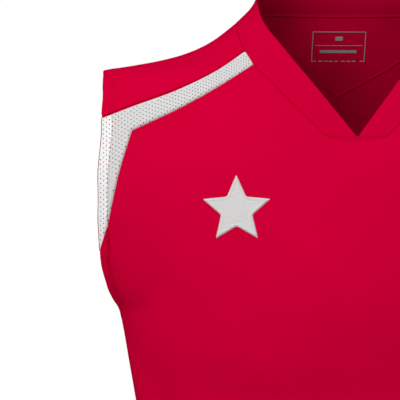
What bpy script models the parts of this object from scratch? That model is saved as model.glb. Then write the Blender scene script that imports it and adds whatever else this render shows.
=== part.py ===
"""Sleeveless sports shirt, size M, filled out as it hangs on its wearer.

Every cut piece is a thin closed wall laid on one form, the surface that the worn cloth follows.
The form is a stack of horizontal rings, from the hem up to the top of the neck band. Seams are curves on
that form, each sampled once, and the two pieces that meet at a seam share its samples.

Sizes are in millimetres until solid() writes them as metres. The origin is between the two points where
the neck band crosses the shoulders, where the wearer carries the shirt. +Z is up, the chest faces -Y and
the wearer's left is +X. Ring angles are in degrees from the centre front, positive to the wearer's left.
"""

import bisect
import math
from collections import namedtuple

import bpy
from mathutils import Vector
from mathutils.geometry import delaunay_2d_cdt

METRES = 0.001

# ---- Cloth ----
WALL = 1.4  # one layer of knit, made thick enough for a solid
BAND_WALL = 2.0  # the neck band is cut double
SEAM_GAP = 0.3

# ---- The form: one ring for each height ----
# Roundness 2 is an ellipse, more is squarer. The front and the back of a ring meet at the side.
Section = namedtuple("Section", "height half_width front back front_round back_round")
SECTIONS = [
    Section(-640, 186, 125, 121, 2.15, 2.15),
    Section(-560, 178, 121, 118, 2.15, 2.15),
    Section(-480, 164, 113, 108, 2.15, 2.15),
    Section(-400, 154, 107, 98, 2.15, 2.15),  # waist
    Section(-340, 159, 108, 96, 2.15, 2.15),
    Section(-296, 166.4, 112, 99, 2.17, 2.15),
    Section(-263, 172.2, 117, 102, 2.15, 2.1),
    Section(-240, 176.2, 120, 104.3, 2.12, 2.05),
    Section(-224, 179.8, 121, 106, 2.1, 2.0),  # underarm
    Section(-207, 187.2, 120.3, 107.8, 2.06, 1.92),
    Section(-190, 197.5, 118.3, 109.4, 2.03, 1.82),
    Section(-170, 210, 114.8, 110.8, 2.01, 1.71),
    Section(-150, 220, 110.4, 111.3, 2.0, 1.63),
    Section(-115, 227.4, 101, 109.6, 2.0, 1.6),
    Section(-78, 223, 86, 101, 2.0, 1.62),
    Section(-55, 211, 75.5, 94, 1.95, 1.6),
    Section(-45, 203, 70.3, 91, 1.85, 1.56),
    Section(-38, 190.5, 66.2, 88.8, 1.7, 1.58),  # shoulder tip
    Section(-34, 169.2, 64, 87.5, 1.72, 1.7),
    Section(-30.3, 149, 62, 86.3, 1.8, 1.8),
    Section(-25, 129, 59.3, 84.6, 1.95, 1.95),
    Section(-16, 109, 55.5, 82, 2.1, 2.1),
    Section(-4.5, 92.2, 51.6, 79.2, 2.2, 2.2),
    Section(0, 86.9, 50.2, 78.1, 2.2, 2.2),
    Section(5.6, 80.6, 48.5, 76.9, 2.2, 2.2),
    Section(11, 75.6, 46.9, 75.8, 2.2, 2.2),
    Section(18, 71.8, 45.2, 74.6, 2.2, 2.2),
    Section(40, 69.5, 43, 72, 2.2, 2.2),
]

# ---- The armhole stands off the form: how far out at each height, straight to the side ----
Flare = namedtuple("Flare", "height out")
FLARES = [
    Flare(-640, 0),
    Flare(-226, 0),
    Flare(-217, 5),
    Flare(-207, 9.5),
    Flare(-190, 12),
    Flare(-170, 8),
    Flare(-150, 3),
    Flare(-130, 0),
    Flare(40, 0),
]
FLARE_ANGLE = 42  # and how far round the form it fades out

# ---- Folds: soft troughs (depth below zero) and ridges that run from one ring angle to another ----
Fold = namedtuple("Fold", "top_angle top_height low_angle low_height half_width depth")
FOLDS = [
    Fold(-74, -232, -52, -330, 26, -2.2),
    Fold(-62, -250, -40, -372, 30, 1.8),
    Fold(76, -236, 56, -318, 26, -2.0),
    Fold(64, -262, 44, -360, 28, 1.6),
    Fold(-16, -330, -24, -660, 34, 3.4),
    Fold(22, -352, 30, -660, 36, 3.0),
    Fold(-58, -400, -66, -660, 38, 4.0),
    Fold(62, -388, 70, -660, 36, 3.8),
    Fold(3, -430, 2, -660, 30, -3.0),
    Fold(-40, -440, -44, -660, 28, -3.2),
    Fold(44, -420, 48, -660, 30, -3.0),
    Fold(-84, -350, -88, -660, 26, -2.6),
    Fold(86, -362, 90, -660, 26, -2.6),
    Fold(112, -300, 104, -660, 36, 3.2),
    Fold(-110, -318, -104, -660, 34, 3.4),
    Fold(146, -250, 138, -660, 40, 3.6),
    Fold(-148, -268, -140, -660, 40, 3.4),
    Fold(-178, -300, -176, -660, 44, -4.0),
    Fold(128, -380, 122, -660, 28, -2.8),
    Fold(-130, -396, -122, -660, 28, -2.6),
    Fold(128, -118, 152, -236, 24, -1.8),
    Fold(-128, -124, -150, -248, 24, -1.8),
]

# ---- Hem and armholes ----
HEM_HEIGHT = -625
ARMHOLE_TOP = -38
ARMHOLE_BOTTOM = -224
ARMHOLE_REACH = 52  # to the front and to the back of its middle

FRONT, BACK = -1, 1

# ---- Neck: seams as seen from the front, (out from the centre, height), for the wearer's left ----
NECK_SEAM_TOP = [(87.3, 0), (88, -10), (83, -25)]  # from the shoulder down to the yoke seam
NECK_SEAM_MESH = [(83, -25), (77, -35.8)]  # the end of the mesh band
NECK_SEAM_LOW = [(77, -35.8), (51, -64.6), (25, -91.3)]  # down to the corner beside the V
NECK_SEAM_BASE = [(25, -91.3), (13, -93.6), (0, -95.5)]  # across under the V
NECK_EDGE_TOP = [(71.8, 18), (69.3, 5), (60, -14)]  # the free edge of the band, which is 24 wide
NECK_EDGE_LOW = [(60, -14), (7, -84)]
NECK_EDGE_TIP = [(7, -84), (0, -93.5)]
BACK_NECK_RISE = 10  # the back of the neck seam stands this much above the shoulder points
NECK_EDGE_RISE = 18  # and the band's free edge this much above its seam, at the shoulder
BACK_EDGE_RISE = 23.5  # and at the centre back
YOKE_BACK_ANGLE = 111  # ring angle where the back yoke seam leaves the neck band
INSERT_SEAM = [(0, -53), (51, -23.5)]  # the V seam of the back neck insert, up to the neck band

# ---- Shoulder yoke and mesh band, seen from the front ----
YOKE_SEAM = [(83, -25), (107, -41.5), (137.6, -56.5), (168.7, -67.7)]
YOKE_ARMHOLE_HEIGHT = -77.4
MESH_SEAM = [(77, -35.8), (107.5, -55.3), (138, -72), (171, -87.3)]
MESH_WEDGE = [(171, -87.3), (181, -120), (189.4, -158)]
MESH_TIP_HEIGHT = -179.5
BACK_YOKE_SEAM = [(101, -22), (132, -41), (160, -52)]
BACK_YOKE_ARMHOLE_HEIGHT = -60

# ---- Mesh fineness ----
BODY_SPACING = 19
INSERT_SPACING = 13
UNROLL_RADIUS = 165  # turns ring angles into lengths when a panel is filled with triangles
LENGTH_STEP = 2
STRIP_ROWS = 3

RED = (0.62, 0.0, 0.034, 1.0)
WHITE = (0.74, 0.73, 0.73, 1.0)


# ======== The form ========


def slopes_of(xs, ys):
    """Slopes for a smooth curve through the points that adds no bump between them."""
    steps = [b - a for a, b in zip(xs, xs[1:])]
    rates = [(b - a) / h for a, b, h in zip(ys, ys[1:], steps)]
    slopes = [rates[0]]
    for h0, h1, r0, r1 in zip(steps, steps[1:], rates, rates[1:]):
        if r0 * r1 <= 0:
            slopes.append(0.0)
        else:
            w0 = 2 * h1 + h0
            w1 = h1 + 2 * h0
            slopes.append((w0 + w1) / (w0 / r0 + w1 / r1))
    return slopes + [rates[-1]]


def smooth_table(rows):
    """(heights, columns, slopes) of a table whose first column is the height."""
    heights, *columns = zip(*rows)
    return heights, columns, [slopes_of(heights, column) for column in columns]


def read_table(table, height):
    """The values of a smooth table's columns at a height."""
    heights, columns, slopes = table
    height = min(max(height, heights[0]), heights[-1])
    i = min(bisect.bisect_right(heights, height), len(heights) - 1) - 1
    step = heights[i + 1] - heights[i]
    t = (height - heights[i]) / step
    start, leave = 2 * t**3 - 3 * t**2 + 1, (t**3 - 2 * t**2 + t) * step
    end, arrive = 3 * t**2 - 2 * t**3, (t**3 - t**2) * step
    return [
        start * column[i] + leave * slope[i] + end * column[i + 1] + arrive * slope[i + 1]
        for column, slope in zip(columns, slopes)
    ]


RINGS = smooth_table(SECTIONS)
STAND_OFF = smooth_table(FLARES)
LOWEST, HIGHEST = SECTIONS[0].height, SECTIONS[-1].height


def angle_between(a, b):
    """a - b in degrees, from -180 to 180."""
    return (a - b + 180) % 360 - 180


def eased(t):
    t = min(max(t, 0.0), 1.0)
    return t * t * (3 - 2 * t)


def fold_offset(angle, height):
    """How far the folds and the armholes push the cloth out at a place on the form."""
    from_side = abs(abs(angle_between(angle, 0)) - 90)
    total = 0.0
    if from_side < FLARE_ANGLE:
        total = read_table(STAND_OFF, height)[0] * math.cos(math.pi / 2 * from_side / FLARE_ANGLE) ** 2
    for fold in FOLDS:
        drop = (fold.top_height - height) / (fold.top_height - fold.low_height)
        if not 0 < drop < 1:
            continue
        middle = fold.top_angle + angle_between(fold.low_angle, fold.top_angle) * drop
        across = math.radians(angle_between(angle, middle)) * UNROLL_RADIUS / fold.half_width
        if abs(across) < 2:
            ends = eased(drop / 0.45) * (eased((1 - drop) / 0.3) if fold.low_height > HEM_HEIGHT else 1)
            total += fold.depth * ends * math.cos(across * math.pi / 4) ** 2
    return total


def power(value, exponent):
    """A power that keeps its sign."""
    return math.copysign(abs(value) ** exponent, value)


def quadrant(point):
    """(half width, depth, roundness) of the form in front or behind, at a point's height."""
    width, front, back, front_round, back_round = read_table(RINGS, point.z)
    return (width, front, front_round) if point.y < 0 else (width, back, back_round)


def ring_angle(point):
    width, depth, roundness = quadrant(point)
    across = power(point.x / width, roundness / 2)
    return math.degrees(math.atan2(across, power(-point.y / depth, roundness / 2)))


def ring_point(angle, height):
    s, c = math.sin(math.radians(angle)), math.cos(math.radians(angle))
    width, depth, roundness = quadrant(Vector((0, -c, height)))
    fold = fold_offset(angle, height)
    x = (width + fold) * power(s, 2 / roundness)
    y = (depth + fold) * power(c, 2 / roundness)
    return Vector((x, -y, height))


def excess(point):
    """Below 0 inside the form, 0 on it and above 0 outside."""
    width, depth, roundness = quadrant(point)
    fold = fold_offset(ring_angle(point), point.z)
    across = abs(point.x) / (width + fold)
    along = abs(point.y) / (depth + fold)
    return across**roundness + along**roundness - 1


def gradient(point):
    step = 0.1
    change = []
    for axis in ((1, 0, 0), (0, 1, 0), (0, 0, 1)):
        move = Vector(axis) * step
        change.append((excess(point + move) - excess(point - move)) / (2 * step))
    return Vector(change)


def laid(point):
    """The point moved straight onto the form."""
    for _ in range(8):
        slope = gradient(point)
        point = point - slope * (excess(point) / slope.length_squared)
    return point


def outward(point):
    return gradient(point).normalized()


def lengths_up_the_form():
    """The length of cloth from the lowest ring up to each step in height, 45 degrees round from the front."""
    lengths = [0.0]
    for k in range(int((HIGHEST - LOWEST) / LENGTH_STEP)):
        a = ring_point(45, LOWEST + k * LENGTH_STEP)
        b = ring_point(45, LOWEST + (k + 1) * LENGTH_STEP)
        lengths.append(lengths[-1] + (b - a).length)
    return lengths


LENGTHS = lengths_up_the_form()


def crossing(inside, outside):
    """Where the way from a point inside the form to one outside it passes through."""
    while (outside - inside).length > 1e-4:
        middle = (inside + outside) / 2
        if excess(middle) < 0:
            inside = middle
        else:
            outside = middle
    return outside


def seen_from(side, out, height):
    """The place on the form at a distance out from the centre, on the front or the back."""
    return crossing(Vector((out, 0, height)), Vector((out, side * 200, height)))


# ======== Seams and edges, each for the wearer's left ========


def evenly(points, pieces):
    """The curve through the points, cut into pieces of equal length."""
    lengths = [0.0]
    for a, b in zip(points, points[1:]):
        lengths.append(lengths[-1] + (b - a).length)
    found = []
    i = 0
    for k in range(pieces + 1):
        want = lengths[-1] * k / pieces
        while i < len(points) - 2 and lengths[i + 1] < want:
            i += 1
        share = (want - lengths[i]) / (lengths[i + 1] - lengths[i])
        found.append(points[i].lerp(points[i + 1], share))
    return found


def spline(points, steps=24):
    """Many points on a smooth curve through a few, given as (out, height)."""
    knots = [Vector(p) for p in points]
    knots = [2 * knots[0] - knots[1]] + knots + [2 * knots[-1] - knots[-2]]
    found = []
    for a, b, c, d in zip(knots, knots[1:], knots[2:], knots[3:]):
        for k in range(steps):
            t = k / steps
            found.append(
                0.5
                * (2 * b + (c - a) * t + (2 * a - 5 * b + 4 * c - d) * t * t + (3 * b - a - 3 * c + d) * t**3)
            )
    return found + [knots[-2]]


def seam(points, pieces, side=FRONT):
    """A seam drawn in a view, laid on the form and cut into equal pieces."""
    return [laid(p) for p in evenly([seen_from(side, *p) for p in spline(points)], pieces)]


def armhole_point(height, side):
    """Where the edge of the armhole passes a height, in front or behind."""
    middle = (ARMHOLE_TOP + ARMHOLE_BOTTOM) / 2
    half = (ARMHOLE_TOP - ARMHOLE_BOTTOM) / 2
    share = min(max((height - middle) / half, -1.0), 1.0)
    y = side * ARMHOLE_REACH * math.sqrt(1 - share * share)
    return crossing(Vector((0, y, height)), Vector((300, y, height)))


def armhole(high, low, side, pieces):
    """The armhole's edge from one height down to another, in front or behind."""
    middle = (ARMHOLE_TOP + ARMHOLE_BOTTOM) / 2
    half = (ARMHOLE_TOP - ARMHOLE_BOTTOM) / 2
    start = math.acos((high - middle) / half)
    end = math.acos((low - middle) / half)
    turns = [start + (end - start) * k / 60 for k in range(61)]
    return evenly([armhole_point(middle + half * math.cos(turn), side) for turn in turns], pieces)


def back_neck(start, end, pieces, raised=0.0):
    """The back neck seam between two ring angles, or the edge of the band (raised 1) above it."""
    points = []
    for k in range(41):
        angle = start + (end - start) * k / 40
        behind = math.sin(math.radians(angle - 90))
        rise = NECK_EDGE_RISE + (BACK_EDGE_RISE - NECK_EDGE_RISE) * behind
        points.append(ring_point(angle, BACK_NECK_RISE * behind + rise * raised))
    return evenly(points, pieces)


def mirrored(points):
    """The same line on the wearer's right, run the other way."""
    return [laid(Vector((-p.x, p.y, p.z))) for p in reversed(points)]


def joined(*runs):
    """Runs of points that follow each other, without the doubled ends."""
    line = list(runs[0])
    for run in runs[1:]:
        line += run[1:]
    return line


def all_round(half):
    """A closed line from the half that runs from the centre front to the centre back."""
    return joined(half, mirrored(half))[:-1]


def view_of(point):
    return (point.x, point.z)


# Every seam is sampled once, from the centre line outwards or from the neck outwards.
neck_top = seam(NECK_SEAM_TOP, 4)
neck_mesh = seam(NECK_SEAM_MESH, STRIP_ROWS)
neck_low = seam(NECK_SEAM_LOW, 6)
neck_base = seam(NECK_SEAM_BASE, 3)
neck_behind = back_neck(90, YOKE_BACK_ANGLE, 3)
neck_back = back_neck(YOKE_BACK_ANGLE, 180, 9)
arm_yoke_front = armhole(ARMHOLE_TOP, YOKE_ARMHOLE_HEIGHT, FRONT, 4)
arm_yoke_back = armhole(ARMHOLE_TOP, BACK_YOKE_ARMHOLE_HEIGHT, BACK, 3)
arm_mesh = armhole(YOKE_ARMHOLE_HEIGHT, MESH_TIP_HEIGHT, FRONT, 8)
arm_front = armhole(MESH_TIP_HEIGHT, ARMHOLE_BOTTOM, FRONT, 6)
arm_back = armhole(BACK_YOKE_ARMHOLE_HEIGHT, ARMHOLE_BOTTOM, BACK, 12)
yoke_front = seam(YOKE_SEAM + [view_of(arm_mesh[0])], 10)
mesh_low = seam(MESH_SEAM, 10)
mesh_wedge = seam(MESH_WEDGE + [view_of(arm_front[0])], 8)
yoke_back = seam([view_of(neck_back[0])] + BACK_YOKE_SEAM + [view_of(arm_back[0])], 10, BACK)
insert_seam = seam(INSERT_SEAM + [view_of(neck_back[0])], 8, BACK)
side = [
    ring_point(90, ARMHOLE_BOTTOM + (HEM_HEIGHT - ARMHOLE_BOTTOM) * k / 22) for k in range(23)
]


# ======== Solids ========


def inset(loop):
    """A closed line on the form, moved in by half a seam gap. It runs anticlockwise seen from outside."""
    moved = []
    for i, point in enumerate(loop):
        out = outward(point)
        first = out.cross(point - loop[i - 1]).normalized()
        second = out.cross(loop[(i + 1) % len(loop)] - point).normalized()
        middle = first + second
        stretch = min(2 / max(middle.length_squared, 1e-6), 3.0)
        moved.append(laid(point + middle * stretch * SEAM_GAP / 2))
    return moved


def rim_faces(corners, a, b, below_a, below_b):
    """Two triangles across the wall at its rim, split the way that bends away from the next piece."""
    across, down, other = (corners[i] - corners[b] for i in (a, below_a, below_b))
    if across.cross(down).dot(other) > 0:
        return [(b, a, below_a), (b, below_a, below_b)]
    return [(b, a, below_b), (a, below_a, below_b)]


def solid(name, points, triangles, wall, material):
    """A closed wall whose outer face is the given triangles, as an object at the middle of its box."""
    normals = [outward(p) for p in points]
    a, b, c = triangles[0]
    turned = (points[b] - points[a]).cross(points[c] - points[a]).dot(normals[a]) < 0
    outer = [(a, c, b) if turned else (a, b, c) for a, b, c in triangles]
    count = len(points)
    faces = outer + [(c + count, b + count, a + count) for a, b, c in outer]
    corners = points + [p - n * wall for p, n in zip(points, normals)]
    edges = {(a, b) for t in outer for a, b in ((t[0], t[1]), (t[1], t[2]), (t[2], t[0]))}
    for a, b in sorted(edges):
        if (b, a) not in edges:
            faces += rim_faces(corners, a, b, a + count, b + count)
    low = Vector([min(p[k] for p in corners) for k in range(3)])
    high = Vector([max(p[k] for p in corners) for k in range(3)])
    middle = (low + high) / 2
    mesh = bpy.data.meshes.new(name)
    mesh.from_pydata([(p - middle) * METRES for p in corners], [], faces)
    mesh.validate()
    mesh.shade_smooth()
    mesh.set_sharp_from_angle(angle=math.radians(40))
    mesh.materials.append(material)
    panel = bpy.data.objects.new(name, mesh)
    panel.location = middle * METRES
    panel.parent = shirt
    bpy.context.collection.objects.link(panel)
    return panel


def strip(name, outer, inner, rows, wall, material):
    """A band between two lines with as many points each. Where they meet in a point, it ends in one."""
    columns = len(outer)
    loop = inset_grid(outer, inner, rows)
    points = []
    index = {}
    for i in range(columns):
        for j in range(rows + 1):
            point = loop[i][j]
            same = index.get((i, j - 1))
            if j and (points[same] - point).length < 1e-6:
                index[i, j] = same
            else:
                index[i, j] = len(points)
                points.append(point)
    triangles = []
    for i in range(columns - 1):
        for j in range(rows):
            a, b = index[i, j], index[i + 1, j]
            c, d = index[i + 1, j + 1], index[i, j + 1]
            triangles += [t for t in ((a, b, c), (a, c, d)) if len(set(t)) == 3]
    return solid(name, points, triangles, wall, material)


def inset_grid(outer, inner, rows):
    """Columns of points from the outer line to the inner one, with the rim moved in by half a seam gap."""
    columns = len(outer)
    grid = [[laid(a.lerp(b, j / rows)) for j in range(rows + 1)] for a, b in zip(outer, inner)]
    rim = [(i, 0) for i in range(columns)] + [(columns - 1, j) for j in range(1, rows + 1)]
    rim += [(i, rows) for i in range(columns - 2, -1, -1)] + [(0, j) for j in range(rows - 1, 0, -1)]
    kept = []
    for place in rim:
        if not kept or (grid[place[0]][place[1]] - grid[kept[-1][0]][kept[-1][1]]).length > 1e-6:
            kept.append(place)
    loop = [grid[i][j] for i, j in kept]
    if not runs_anticlockwise(loop):
        kept.reverse()
        loop.reverse()
    moved = dict(zip(kept, inset(loop)))
    for i, j in rim:
        same = next(place for place in kept if (grid[place[0]][place[1]] - grid[i][j]).length < 1e-6)
        moved[i, j] = moved[same]
    for (i, j), point in moved.items():
        grid[i][j] = point
    return grid


def runs_anticlockwise(loop):
    """Whether a closed line on the form turns anticlockwise, seen from outside."""
    middle = sum(loop, Vector()) / len(loop)
    turn = Vector()
    for a, b in zip(loop, loop[1:] + loop[:1]):
        turn += (a - middle).cross(b - middle)
    facing = sum((outward(p) for p in loop), Vector())
    return turn.dot(facing) > 0


def ring(name, outer, inner, rows, wall, material):
    """A band between two closed lines with as many points each, which both run to the wearer's left."""
    lines = [[laid(a.lerp(b, j / rows)) for a, b in zip(outer, inner)] for j in range(rows + 1)]
    lines[0] = inset(lines[0])
    lines[-1] = inset(lines[-1][::-1])[::-1]
    count = len(outer)
    triangles = []
    for j in range(rows):
        for i in range(count):
            a, b = j * count + i, j * count + (i + 1) % count
            triangles += [(a, b, b + count), (a, b + count, a + count)]
    return solid(name, [point for line in lines for point in line], triangles, wall, material)


def four_sided(name, front, back, neck, arm, wall, material):
    """A panel between four lines: front and back run from the neck out, neck and arm from front to back."""
    columns, rows = len(front) - 1, len(neck) - 1
    grid = []
    for i in range(columns + 1):
        s = i / columns
        column = []
        for j in range(rows + 1):
            t = j / rows
            ruled = front[i].lerp(back[i], t) + neck[j].lerp(arm[j], s)
            corners = front[0].lerp(front[-1], s).lerp(back[0].lerp(back[-1], s), t)
            column.append(laid(ruled - corners))
        grid.append(column)
    rim = [(i, 0) for i in range(columns)] + [(columns, j) for j in range(rows)]
    rim += [(i, rows) for i in range(columns, 0, -1)] + [(0, j) for j in range(rows, 0, -1)]
    loop = [grid[i][j] for i, j in rim]
    if not runs_anticlockwise(loop):
        rim.reverse()
        loop.reverse()
    for (i, j), point in zip(rim, inset(loop)):
        grid[i][j] = point
    points = [point for column in grid for point in column]
    triangles = []
    for i in range(columns):
        for j in range(rows):
            a = i * (rows + 1) + j
            b = a + rows + 1
            triangles += [(a, b, b + 1), (a, b + 1, a + 1)]
    return solid(name, points, triangles, wall, material)


def unrolled(point, facing):
    """A point's angle round from the panel's middle as a length, and its height as a length of cloth."""
    turn = angle_between(ring_angle(point), facing)
    place = (point.z - LOWEST) / LENGTH_STEP
    i = min(int(place), len(LENGTHS) - 2)
    length = LENGTHS[i] + (LENGTHS[i + 1] - LENGTHS[i]) * (place - i)
    return Vector((math.radians(turn) * UNROLL_RADIUS, length))


def rolled(flat, facing):
    i = bisect.bisect_right(LENGTHS, flat.y) - 1
    place = i + (flat.y - LENGTHS[i]) / (LENGTHS[i + 1] - LENGTHS[i])
    height = LOWEST + place * LENGTH_STEP
    return ring_point(facing + math.degrees(flat.x / UNROLL_RADIUS), height)


def clear_inside(flat, outline, margin):
    """Whether a flat point lies inside an outline, at least the margin away from it."""
    inside = False
    for a, b in zip(outline, outline[1:] + outline[:1]):
        along = b - a
        share = min(max((flat - a).dot(along) / along.length_squared, 0.0), 1.0)
        if (flat - a - along * share).length < margin:
            return False
        if (a.y > flat.y) != (b.y > flat.y):
            if flat.x < a.x + (flat.y - a.y) / (b.y - a.y) * along.x:
                inside = not inside
    return inside


def filled(name, loop, facing, spacing, wall, material):
    """A panel of any outline: its flat pattern is filled with an even net of triangles."""
    if not runs_anticlockwise(loop):
        loop = loop[::-1]
    rim = inset(loop)
    outline = [unrolled(p, facing) for p in rim]
    low = Vector((min(p.x for p in outline), min(p.y for p in outline)))
    high = Vector((max(p.x for p in outline), max(p.y for p in outline)))
    rise = spacing * math.sqrt(3) / 2
    net = []
    for row in range(math.ceil((high.y - low.y) / rise)):
        start = -math.ceil((high.x - low.x) / 2 / spacing) + row % 2 / 2
        for column in range(-int(2 * start) + 1):
            flat = Vector(((start + column) * spacing, low.y + (row + 0.5) * rise))
            if clear_inside(flat, outline, spacing * 0.55):
                net.append(flat)
    count = len(outline)
    edges = [(i, (i + 1) % count) for i in range(count)]
    places, _, triangles, came_from, _, _ = delaunay_2d_cdt(outline + net, edges, [], 1, 1e-6)
    points = rim + [rolled(flat, facing) for flat in net]
    ordered = [points[ids[0]] for ids in came_from]
    return solid(name, ordered, triangles, wall, material)


# ======== Materials and pieces ========


def cloth(name, colour, roughness):
    material = bpy.data.materials.new(name)
    material.use_nodes = True
    shader = material.node_tree.nodes["Principled BSDF"]
    shader.inputs["Base Color"].default_value = colour
    shader.inputs["Roughness"].default_value = roughness
    shader.inputs["Metallic"].default_value = 0.0
    return material


for old in list(bpy.data.objects):
    bpy.data.objects.remove(old)

shirt = bpy.data.objects.new("shirt", None)
bpy.context.collection.objects.link(shirt)
red_knit = cloth("red_interlock", RED, 0.75)
band_knit = cloth("red_neck_band", RED, 0.7)
white_mesh = cloth("white_eyelet_mesh", WHITE, 0.8)


def hem_line(start, end, pieces):
    return [ring_point(start + (end - start) * k / pieces, HEM_HEIGHT) for k in range(pieces + 1)]


def front_body():
    """The front: side seams, lower armholes, mesh seams and the seam of the neck band."""
    left = joined(neck_base[::-1], neck_low[::-1], mesh_low, mesh_wedge, arm_front, side)
    loop = joined(left, hem_line(90, -90, 26), mirrored(left))[:-1]
    filled("front_body", loop, 0, BODY_SPACING, WALL, red_knit)


def back_body():
    """The back: side seams, armholes, yoke seams and the V seam of the neck insert."""
    left = joined(insert_seam, yoke_back, arm_back, side)
    loop = joined(left, hem_line(90, 270, 26), mirrored(left))[:-1]
    filled("back_body", loop, 180, BODY_SPACING, WALL, red_knit)


def back_neck_insert():
    """The triangle under the back of the neck band."""
    left = joined(insert_seam, neck_back)
    loop = joined(left, mirrored(left))[:-1]
    filled("back_neck_insert", loop, 180, INSERT_SPACING, WALL, red_knit)


def both_sides(make, name, *lines, **how):
    make(name + "_left", *lines, **how)
    make(name + "_right", *[mirrored(line)[::-1] for line in lines], **how)


def yokes():
    """The shoulder pieces, from the mesh band over the shoulder to the back."""
    neck = joined(neck_top[::-1], neck_behind)
    arm = joined(arm_yoke_front[::-1], arm_yoke_back)
    both_sides(four_sided, "shoulder_yoke", yoke_front, yoke_back, neck, arm, wall=WALL, material=red_knit)


def mesh_bands():
    """The eyelet mesh, from the neck band along the yoke and down the armhole to a point."""
    outer = joined(yoke_front, arm_mesh)
    inner = joined(mesh_low, mesh_wedge)
    both_sides(strip, "mesh_band", outer, inner, rows=STRIP_ROWS, wall=WALL, material=white_mesh)


def neck_band():
    """The wide band, in one piece all round: a V in front and level behind."""
    half = joined(neck_base[::-1], neck_low[::-1], neck_mesh[::-1], neck_top[::-1], neck_behind, neck_back)
    edge = joined(
        seam(NECK_EDGE_TIP, 3)[::-1],
        seam(NECK_EDGE_LOW, STRIP_ROWS + 6)[::-1],
        seam(NECK_EDGE_TOP, 4)[::-1],
        back_neck(90, YOKE_BACK_ANGLE, 3, raised=1),
        back_neck(YOKE_BACK_ANGLE, 180, 9, raised=1),
    )
    ring("neck_band", all_round(half), all_round(edge), STRIP_ROWS, BAND_WALL, band_knit)


front_body()
back_body()
back_neck_insert()
yokes()
mesh_bands()
neck_band()
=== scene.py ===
# Sleeveless sports shirt: red interlock knit, white eyelet mesh along the yokes and armholes, wide V neck band.
# It is filled out as worn, with nobody in it. Lengths are millimetres until makeMesh writes metres.
# x runs to the wearer's left, the chest faces -y and z is up. Angles are degrees round from the centre front.
import math

import bpy
import numpy as np
from mathutils import Matrix, Vector
from mathutils.geometry import delaunay_2d_cdt
from mathutils.kdtree import KDTree


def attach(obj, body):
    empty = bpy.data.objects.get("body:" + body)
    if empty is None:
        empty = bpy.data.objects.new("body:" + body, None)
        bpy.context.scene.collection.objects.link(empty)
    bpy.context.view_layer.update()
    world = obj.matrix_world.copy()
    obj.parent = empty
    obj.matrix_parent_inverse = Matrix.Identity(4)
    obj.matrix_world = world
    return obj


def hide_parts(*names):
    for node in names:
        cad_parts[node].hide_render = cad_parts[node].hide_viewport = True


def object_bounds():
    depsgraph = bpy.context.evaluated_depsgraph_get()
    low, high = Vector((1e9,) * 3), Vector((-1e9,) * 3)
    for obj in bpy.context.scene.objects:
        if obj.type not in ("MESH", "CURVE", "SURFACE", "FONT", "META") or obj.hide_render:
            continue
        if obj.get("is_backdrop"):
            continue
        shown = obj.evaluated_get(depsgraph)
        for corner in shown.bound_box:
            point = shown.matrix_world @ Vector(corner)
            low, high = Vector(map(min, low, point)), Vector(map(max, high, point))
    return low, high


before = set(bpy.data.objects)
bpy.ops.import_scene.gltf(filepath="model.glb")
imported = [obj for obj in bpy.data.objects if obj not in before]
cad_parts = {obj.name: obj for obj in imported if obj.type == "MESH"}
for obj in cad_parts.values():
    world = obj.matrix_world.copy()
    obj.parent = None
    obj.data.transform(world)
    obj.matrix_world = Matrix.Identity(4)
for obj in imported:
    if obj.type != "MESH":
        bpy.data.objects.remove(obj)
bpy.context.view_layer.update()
mm = 0.001
front, back = -1, 1

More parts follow.
